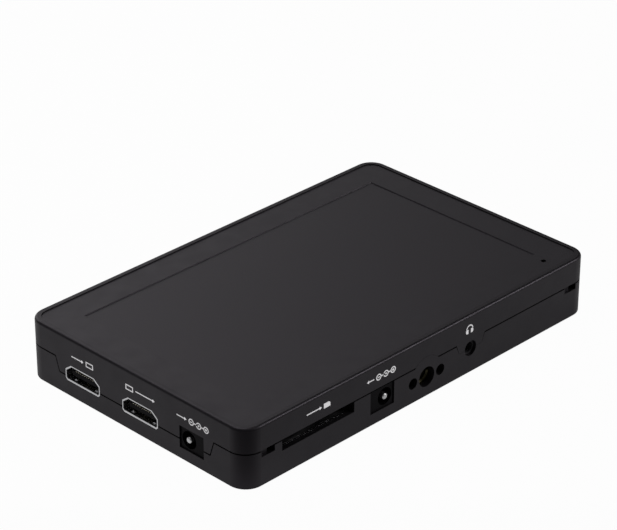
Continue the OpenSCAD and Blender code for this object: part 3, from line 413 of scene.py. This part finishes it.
def add_helix(bm, profile, pitch, turns, steps):
    """Spins a closed profile of (radius, height) points up a screw line about Z."""
    corners = [bm.verts.new((r, 0, z)) for r, z in profile]
    first = bm.faces.new(corners)
    total = int(steps * turns)
    bmesh.ops.spin(bm, geom=[first], cent=(0, 0, 0), axis=(0, 0, 1), dvec=(0, 0, pitch / steps),
                   angle=2 * math.pi * turns, steps=total, use_merge=False)
    bmesh.ops.remove_doubles(bm, verts=bm.verts, dist=1e-5)
    bmesh.ops.recalc_face_normals(bm, faces=bm.faces)


def add_coil(name, radius, wire, length, place, material, body):
    """Coil spring about Z of its place, standing on it, with the wire's own thickness at both ends."""
    bm = bmesh.new()
    profile = [(radius + wire * math.cos(a), wire + wire * math.sin(a))
               for a in (2 * math.pi * i / WIRE_SIDES for i in range(WIRE_SIDES))]
    add_helix(bm, profile, (length - 2 * wire) / COIL_TURNS, COIL_TURNS, COIL_STEPS)
    bmesh.ops.transform(bm, verts=bm.verts, matrix=place @ Matrix.Scale(MM, 4))
    coil = finish_piece(name, bm, material)
    for face in coil.data.polygons:
        face.use_smooth = True
    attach(coil, body)
    return coil


def add_thread(finishes):
    """Ridges of the inch thread in the block's bore."""
    pitch = 1.27
    outer = 3.16
    inner = outer - 0.55
    bm = bmesh.new()
    profile = [(outer, 0.08), (inner, 0.5), (inner, 0.66), (outer, 1.08)]
    add_helix(bm, profile, pitch, 6, 40)
    place = Matrix.Translation((0.2 * MM, -43.9 * MM, 6.7 * MM)) @ Matrix.Rotation(math.radians(-90), 4, "X")
    bmesh.ops.transform(bm, verts=bm.verts, matrix=place @ Matrix.Scale(MM, 4))
    # painted shade: the thread ridges take the block's darkened brass
    thread = finish_piece("tripod_thread", bm, finishes["block_brass"])
    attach(thread, "housing")


def add_springs(finishes):
    """Coils in the place of the two plain tubes."""
    low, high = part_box("latch_spring")
    middle = (low + high) / 2
    length = (high.z - low.z) / MM
    place = Matrix.Translation((middle.x, middle.y, low.z))
    coil = add_coil("latch_coil", 1.0, 0.19, length, place, finishes["spring_steel"], "housing")
    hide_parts("latch_spring")
    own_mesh(coil)
    low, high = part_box("card_spring")
    middle = (low + high) / 2
    length = (high.y - low.y) / MM
    place = Matrix.Translation((middle.x, low.y, middle.z)) @ Matrix.Rotation(math.radians(-90), 4, "X")
    coil = add_coil("card_coil", 0.7, 0.17, length, place, finishes["spring_steel"], "housing")
    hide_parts("card_spring")
    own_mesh(coil)


# Printed signs, drawn flat in millimetres and set on a wall

STROKE = 0.37


def add_shape(bm, points):
    bm.faces.new([bm.verts.new((u, v, 0)) for u, v in points])


def add_bar(bm, u0, v0, u1, v1):
    """Straight stroke from one point to another."""
    along = Vector((u1 - u0, v1 - v0)).normalized() * STROKE / 2
    side = Vector((-along.y, along.x))
    add_shape(bm, [(u0 + side.x, v0 + side.y), (u0 - side.x, v0 - side.y),
                   (u1 - side.x, v1 - side.y), (u1 + side.x, v1 + side.y)])


def add_arc(bm, u, v, radius, start=0, turn=360):
    """Curved stroke about a point, from a start angle through a turn in degrees."""
    inner = radius - STROKE / 2
    cos, sin = math.cos(math.radians(start)), math.sin(math.radians(start))
    ends = [bm.verts.new((u + r * cos, v + r * sin, 0)) for r in (inner, inner + STROKE)]
    edge = bm.edges.new(ends)
    bmesh.ops.spin(bm, geom=[edge], cent=(u, v, 0), axis=(0, 0, 1), angle=math.radians(turn),
                   steps=max(6, int(turn / 15)), use_merge=turn == 360)


def add_disc(bm, u, v, radius):
    bmesh.ops.create_circle(bm, cap_ends=True, segments=20, radius=radius,
                            matrix=Matrix.Translation((u, v, 0)))


def add_arrow(bm, u0, u1, v=0.0, head=0.75):
    """Arrow along u from u0 to its tip at u1."""
    way = 1 if u1 > u0 else -1
    add_bar(bm, u0, v, u1 - way * head, v)
    back = u1 - way * head * 1.15
    add_shape(bm, [(u1, v), (back, v + head * 0.8), (back, v - head * 0.8)])


def add_frame(bm, u0, v0, u1, v1):
    """Outline of a box, with its strokes inside."""
    h = STROKE / 2
    for v in (v0 + h, v1 - h):
        add_bar(bm, u0, v, u1, v)
    for u in (u0 + h, u1 - h):
        add_bar(bm, u, v0 + STROKE, u, v1 - STROKE)


def draw_video(bm, width, outward):
    """A screen and an arrow into it or out of it."""
    half = width / 2
    if outward:
        add_frame(bm, -half, -0.9, -half + 3.2, 0.9)
        add_arrow(bm, -half + 4.2, half)
    else:
        add_frame(bm, half - 3.2, -0.9, half, 0.9)
        add_arrow(bm, -half, half - 4.2)


def draw_polarity(bm, u):
    """Ring with minus, open ring about a dot, ring with plus."""
    for side in (-1, 1):
        add_arc(bm, u + side * 3.0, 0, 0.9)
        add_bar(bm, u + side * 3.0 - 0.42, 0, u + side * 3.0 + 0.42, 0)
        add_bar(bm, u + side * 1.1, 0, u + side * 1.92, 0)
    add_bar(bm, u + 3.0, 0.19, u + 3.0, 0.42)
    add_bar(bm, u + 3.0, -0.42, u + 3.0, -0.19)
    add_arc(bm, u, 0, 0.9, 200, 320)
    add_disc(bm, u, 0, 0.32)


def draw_power(bm, width, outward):
    """An arrow out of or into the socket, and the polarity of the plug."""
    half = width / 2
    ends = (-half, half - 8.9) if outward else (half - 8.9, -half)
    add_arrow(bm, *ends)
    draw_polarity(bm, half - 4.0)


def draw_card(bm, width):
    """A card with a cut corner and an arrow towards it."""
    half = width / 2
    add_shape(bm, [(half - 2.6, -0.8), (half, -0.8), (half, 0.3), (half - 0.5, 0.8), (half - 2.6, 0.8)])
    add_arrow(bm, -half, half - 3.4)


def draw_headphones(bm):
    """Head band with a cup at each end."""
    add_arc(bm, 0, -0.1, 1.3, 0, 180)
    for side in (-1, 1):
        add_shape(bm, [(side * 0.55, -1.5), (side * 1.25, -1.5), (side * 1.6, -1.1), (side * 1.6, -0.5),
                       (side * 1.3, -0.1), (side * 0.55, -0.1)][::side])


def draw_power_key(bm):
    add_arc(bm, 0, 0, 0.8, 125, 290)
    add_bar(bm, 0, 0.15, 0, 1.0)


def draw_menu(bm):
    for v in (-0.6, 0, 0.6):
        add_bar(bm, -0.9, v, 0.9, v)


def draw_minus(bm):
    add_bar(bm, -0.8, 0, 0.8, 0)


def draw_plus(bm):
    add_bar(bm, -0.8, 0, 0.8, 0)
    for way in (-1, 1):
        add_bar(bm, 0, way * STROKE / 2, 0, way * 0.8)


def draw_dots(bm, count):
    for i in range(count):
        add_disc(bm, (i - (count - 1) / 2) * 1.1, 0, 0.32)


def print_sign(name, bm, middle, right, outward, body, ink):
    """Raises a flat drawing to the thickness of its ink and lays it on a wall."""
    raised = bmesh.ops.extrude_face_region(bm, geom=bm.faces[:])
    top = [g for g in raised["geom"] if isinstance(g, bmesh.types.BMVert)]
    bmesh.ops.translate(bm, verts=top, vec=(0, 0, INK_THICK))
    right = Vector(right)
    outward = Vector(outward)
    up = outward.cross(right)
    turn = Matrix((right, up, outward)).transposed().to_4x4()
    place = Matrix.Translation(Vector(middle) * MM) @ turn @ Matrix.Scale(MM, 4)
    bmesh.ops.transform(bm, verts=bm.verts, matrix=place @ Matrix.Translation((0, 0, -INK_SINK)))
    bmesh.ops.recalc_face_normals(bm, faces=bm.faces)
    sign = finish_piece(name, bm, ink)
    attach(sign, body)


def add_signs(ink):
    """Signs beside the sockets, where the object has its words, and on the keys."""
    left, front, key_face = -73.5, -46.2, 46.1
    left_row = 14.2
    for name, draw, y in (("sign_video_in", lambda bm: draw_video(bm, 9.5, False), 21.45),
                          ("sign_video_out", lambda bm: draw_video(bm, 12.3, True), -3.45),
                          ("sign_power_out", lambda bm: draw_power(bm, 13.0, True), -25.2)):
        bm = bmesh.new()
        draw(bm)
        print_sign(name, bm, (left, y, left_row), (0, -1, 0), (-1, 0, 0), "housing", ink)
    for name, draw, x, z in (("sign_card", lambda bm: draw_card(bm, 9.4), -44.8, 15.3),
                             ("sign_power_in", lambda bm: draw_power(bm, 11.9, False), -19.25, 15.3),
                             ("sign_headphones", draw_headphones, 18.7, 15.27)):
        bm = bmesh.new()
        draw(bm)
        print_sign(name, bm, (x, front, z), (1, 0, 0), (0, -1, 0), "housing", ink)
    for body, draw in (("power_key", draw_power_key), ("menu_key", draw_menu), ("minus_key", draw_minus),
                       ("plus_key", draw_plus), ("key_1", lambda bm: draw_dots(bm, 1)),
                       ("key_2", lambda bm: draw_dots(bm, 2))):
        low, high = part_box(body)
        bm = bmesh.new()
        draw(bm)
        middle = (low + high) / 2 / MM
        print_sign("mark_" + body, bm, (middle.x, key_face, middle.z), (-1, 0, 0), (0, 1, 0), body, ink)


finishes = make_finishes()
dress_nodes(finishes)
# painted shade: the front shell's colour darkens along its top rim
paint_rim_shade(finishes["front_plastic"], 19.6, 19.75, 0.7)
for shell in ("video_in_shell", "video_out_shell"):
    round_edges(shell, 0.15)
add_thread(finishes)
add_springs(finishes)
ink = moulded_plastic("glowing_white_ink", (0.93, 0.92, 0.94), 0.5, grain=0.1, depth=0.002, sheen=(1.0, 1.0, 1.0))
# painted light: the printed ink glows a little, though it is no lamp
ink_values = ink.node_tree.nodes["Principled BSDF"].inputs
ink_values["Emission Color"].default_value = (1.0, 0.99, 1.0, 1.0)
ink_values["Emission Strength"].default_value = 0.25
add_signs(ink)

add_camera()
make_world()
make_floor()
add_softbox("overhead", (-0.1, 0.2, 1.0), 1.2, 0.8, 0.8, 4.0)
add_softbox("edge_strip", (0.62, -0.634, 0.4625), 1.2, 0.35, 0.35, 3.8)
bpy.context.scene.view_settings.view_transform = "Standard"
